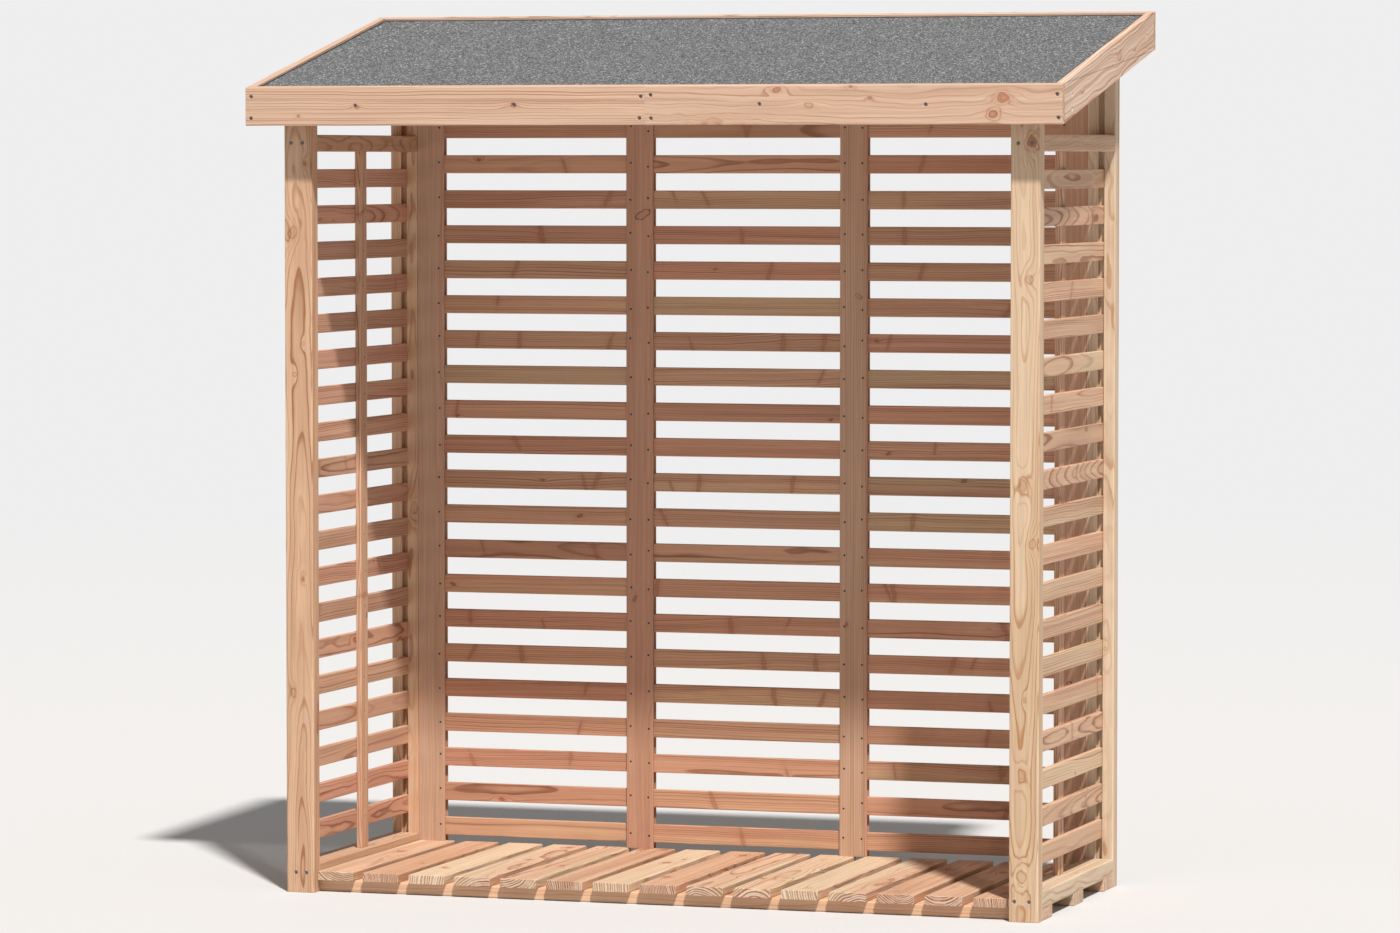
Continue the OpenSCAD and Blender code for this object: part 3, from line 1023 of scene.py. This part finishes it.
timbers = Timbers("roof_boards")
for i, (lo, hi) in enumerate(islands("roof_boards")):
    solid = crosswise(pitched(lo, hi), [ROOF_ARRIS] * 4, lo, hi, ROOF_EASE)
    knots = some_knots(f"roof-{i}", hi.y - lo.y, "roof")
    timbers.add(solid, (lo + hi) / 2, UP_ROOF, X, OFF_ROOF, ROOF_BOARD_SIZE, knots=knots)
timbers.piece(roof_wood, "roof_timber")

FELT_GRID = (130, 56)
FELT_DIP = 0.0012
FELT_FLAT_EDGE = 0.04


def felt():
    """Felt sheet with the slight unevenness of the boards under it, flat along its edges."""
    lo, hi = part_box("roof_felt")
    thick = hi.z - lo.z - SLOPE * (hi.y - lo.y)
    across, up = FELT_GRID
    points = []
    for layer in (0, 1):
        for j in range(up + 1):
            for i in range(across + 1):
                x = lo.x + (hi.x - lo.x) * i / across
                y = lo.y + (hi.y - lo.y) * j / up
                z = lo.z + SLOPE * (y - lo.y) + thick * layer
                if layer:
                    near = min(x - lo.x, hi.x - x, y - lo.y, hi.y - y)
                    fade = min(1.0, near / FELT_FLAT_EDGE)
                    z -= FELT_DIP * (0.5 + 0.5 * noise.noise(Vector((x * 5.1, y * 6.3, 4.0)))) * fade
                points.append((x, y, z))
    row = across + 1
    layer = row * (up + 1)
    faces = []
    for j in range(up):
        for i in range(across):
            a = j * row + i
            faces.append((layer + a, layer + a + 1, layer + a + row + 1, layer + a + row))
            faces.append((a, a + row, a + row + 1, a + 1))
    for i in range(across):
        faces.append((i, i + 1, layer + i + 1, layer + i))
        top = up * row + i
        faces.append((top + 1, top, layer + top, layer + top + 1))
    for j in range(up):
        a = j * row
        faces.append((a + row, a, layer + a, layer + a + row))
        b = a + across
        faces.append((b, b + row, layer + b + row, layer + b))
    mesh = mesh_of("roof_felt_sheet", points, faces, felt_grey)
    mesh.shade_smooth()
    mesh.set_sharp_from_angle(angle=math.radians(50))
    place(mesh, "roof_felt", "roof_felt")


felt()

FASCIA_KNOTS = {
    "fascia_front_right": [
        (0.360, 0.013, 0.0085), (0.338, -0.023, 0.0080), (-0.179, 0.033, 0.0065), (-0.102, -0.003, -0.0070),
        (0.045, 0.015, 0.0035), (-0.001, 0.040, 0.0030), (-0.335, -0.095, 0.0260)],
    "fascia_front_left": [(0.177, -0.001, 0.0055), (-0.218, -0.003, 0.0040), (-0.365, -0.024, 0.0024)],
    "fascia_side_right": [(0.090, 0.008, -0.0120), (-0.265, -0.008, 0.0030), (0.240, -0.006, -0.0060)],
}
FASCIA_GRAIN = {
    "fascia_front_right": {"heart": (0.060, 0.090), "tone": (0.62, 0.45, 2.0), "habit": (0.30, 0.7, 0.78)},
    "fascia_front_left": {"heart": (0.150, 0.030), "tone": (0.66, 0.45, 2.5), "habit": (0.25, 0.45, 1.4)},
    "fascia_side_right": {"heart": (-0.060, -0.060), "tone": (1.30, 0.80, 0.0), "habit": (0.35, 0.8, 2.00)},
}

# Screws of a fascia board: how far from its left end or its right end, and how high
FASCIA_LEFT = 0.013
FASCIA_INNER = (0.280, 0.678)
FASCIA_RIGHT = 0.0115
FASCIA_PAIR = (0.017, 0.068)
FASCIA_ONE = (0.046,)
SIDE_PAIR = (0.018, 0.052)


def fascia(node, solid, here, grain, length):
    """Fascia board with its screws. Its grain is given as the directions along, across and through it."""
    lo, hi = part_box(node)
    screws.extend(sunk(here, FASCIA_SINK))
    knots = FASCIA_KNOTS.get(node) or some_knots(node, length, "fascia")
    timbers = Timbers(node, ALL_KNOTS)
    solid = screwed(solid, here, FASCIA_SINK)
    timbers.add(solid, (lo + hi) / 2, *grain, FASCIA_SIZE, knots=knots, **FASCIA_GRAIN.get(node, {}))
    timbers.piece(fascia_wood, "fascia_timber")


for row, y_out in (("front", -1), ("rear", 1)):
    for name in ("left", "right"):
        node = f"fascia_{row}_{name}"
        lo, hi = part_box(node)
        face_y = lo.y if y_out < 0 else hi.y
        columns = [(lo.x + FASCIA_LEFT, FASCIA_PAIR)]
        columns += [(lo.x + x_in, FASCIA_ONE) for x_in in FASCIA_INNER]
        columns.append((hi.x - FASCIA_RIGHT, FASCIA_PAIR))
        rng = random.Random("screws-" + node)
        here = []
        for x_at, rows in columns:
            for z_at in rows:
                at = (x_at + stray(rng, 0.002), face_y, lo.z + z_at + stray(rng, 0.0025))
                here.append((Vector(at), Y * y_out))
        solid = crosswise(bevelled(lo, hi), FASCIA_RADII, lo, hi, FASCIA_EASE)
        fascia(node, solid, here, (X, Z, Y), hi.x - lo.x)
for side, name in ((-1, "left"), (1, "right")):
    node = f"fascia_side_{name}"
    lo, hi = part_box(node)
    face_x = hi.x if side > 0 else lo.x
    rng = random.Random("screws-" + node)
    here = []
    for beam in ("front", "rear"):
        beam_lo, beam_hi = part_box(f"roof_beam_{beam}")
        y_at = (beam_lo.y + beam_hi.y) / 2
        z_low = lo.z + SLOPE * (y_at - lo.y)
        for z_at in SIDE_PAIR:
            at = Vector((face_x, y_at + stray(rng, 0.003), z_low + z_at + stray(rng, 0.002)))
            here.append((at, X * side))
    solid = crosswise(pitched(lo, hi), [ROOF_ARRIS] * 4, lo, hi, ROOF_EASE)
    fascia(node, solid, here, (UP_ROOF, OFF_ROOF, X), hi.y - lo.y)


# Screws and nails


def screw_head(at, out):
    """Rings of a countersunk head with a cross recess, from its back to the bottom of the recess."""
    turn = random.Random(f"turn-{at.x:.4f}-{at.y:.4f}-{at.z:.4f}").uniform(0, math.pi)
    top = at - out * HEAD_SINK
    rings = [disc_ring(top - out * down, out, HEAD_R * share, HEAD_SIDES, turn) for down, share in HEAD_RINGS]
    for down, share in CROSS_RINGS:
        ring = []
        for k in range(HEAD_SIDES):
            reach = HEAD_R * (CROSS_ARM if k % 4 == 0 else CROSS_WAIST) * share
            ring.append(disc_ring(top - out * down, out, reach, HEAD_SIDES, turn)[k])
        rings.append(ring)
    return rings


def nail_head(at, out):
    """Rings of a small domed head in its dent, from its back to its top."""
    top = at - out * NAIL_SINK
    return [disc_ring(top - out * down, out, NAIL_R * share, NAIL_SIDES) for down, share in NAIL_RINGS]


def heads(name, places, rings_of, material):
    """All the heads of one kind, as one piece."""
    points = []
    faces = []
    for at, out in places:
        stack(points, faces, rings_of(at, out))
    place(mesh_of(name, points, faces, material))


heads("screws", screws, screw_head, screw_steel)
heads("nails", nails, nail_head, nail_steel)


# Floor, light and camera

SURROUND = rgb(0.86, 0.86, 0.86)
FLOOR_GREY = rgb(0.60, 0.60, 0.60)
FLOOR_LEVEL = -0.0005
FLOOR_SIDES = 96
FLOOR_RADII = (4.0, 12.0, 30.0, 90.0)
FLOOR_FADE = (3.0, 16.0)
FILL_COLOUR = rgb(0.98, 0.97, 0.96)
FILL_STRENGTH = 0.33
SUN_COLOUR = (1.0, 0.97, 0.94)
SUN_STRENGTH = 4.5
SUN_ANGLE = math.radians(3.0)
SUN_FROM = Vector((0.36, -0.526, 1.0))
CAMERA_AT = Vector((4.393, -13.384, 1.752))
CAMERA_AIM = Vector((-0.0094, 0.0, 1.0168))
CAMERA_LENS = 151.26
CAMERA_SENSOR = 36.0
CAMERA_CLIP = (0.1, 400.0)


def pale_floor():
    """Pale floor that runs out into the surround."""
    points = [Vector((0, 0, 0))]
    for r in FLOOR_RADII:
        points += disc_ring(Vector((0, 0, 0)), Z, r, FLOOR_SIDES)
    faces = [(0, 1 + k, 1 + (k + 1) % FLOOR_SIDES) for k in range(FLOOR_SIDES)]
    for r in range(len(FLOOR_RADII) - 1):
        inner = 1 + r * FLOOR_SIDES
        outer = inner + FLOOR_SIDES
        for k in range(FLOOR_SIDES):
            after = (k + 1) % FLOOR_SIDES
            faces.append((inner + k, outer + k, outer + after, inner + after))
    n = Net("pale_floor")
    away = n.length(n.node("TexCoord").outputs["Object"])
    n.surface(FLOOR_GREY, 0.9, 0.1)
    glow = n.node("Emission", SURROUND, 1.0)
    blend = n.node("MixShader", n.smooth(away, *FLOOR_FADE), n.shader.outputs[0], glow.outputs[0])
    n.tree.links.new(blend.outputs[0], n.tree.nodes["Material Output"].inputs["Surface"])
    floor = linked("floor", mesh_of("floor", points, faces, n.material))
    floor.location.z = FLOOR_LEVEL
    floor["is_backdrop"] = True


def soft_light():
    """Even light from the pale surround, and a soft sun from the front right."""
    world = bpy.data.worlds.new("surround")
    world.use_nodes = True
    tree = world.node_tree
    shown = tree.nodes["Background"]
    shown.inputs["Color"].default_value = SURROUND
    lit = tree.nodes.new("ShaderNodeBackground")
    lit.inputs["Color"].default_value = FILL_COLOUR
    lit.inputs["Strength"].default_value = FILL_STRENGTH
    ray = tree.nodes.new("ShaderNodeLightPath")
    pick = tree.nodes.new("ShaderNodeMixShader")
    tree.links.new(ray.outputs["Is Camera Ray"], pick.inputs[0])
    tree.links.new(lit.outputs[0], pick.inputs[1])
    tree.links.new(shown.outputs[0], pick.inputs[2])
    tree.links.new(pick.outputs[0], tree.nodes["World Output"].inputs["Surface"])
    bpy.context.scene.world = world

    key = bpy.data.lights.new("key", "SUN")
    key.energy = SUN_STRENGTH
    key.color = SUN_COLOUR
    key.angle = SUN_ANGLE
    linked("key", key).rotation_euler = SUN_FROM.to_track_quat("Z", "Y").to_euler()


pale_floor()
soft_light()

view = bpy.data.cameras.new("view")
view.sensor_width = CAMERA_SENSOR
view.lens = CAMERA_LENS
view.clip_start, view.clip_end = CAMERA_CLIP
camera = linked("view", view)
camera.location = CAMERA_AT
camera.rotation_euler = (CAMERA_AIM - CAMERA_AT).to_track_quat("-Z", "Y").to_euler()
bpy.context.scene.camera = camera
bpy.context.scene.view_settings.view_transform = "Standard"

lo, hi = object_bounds()
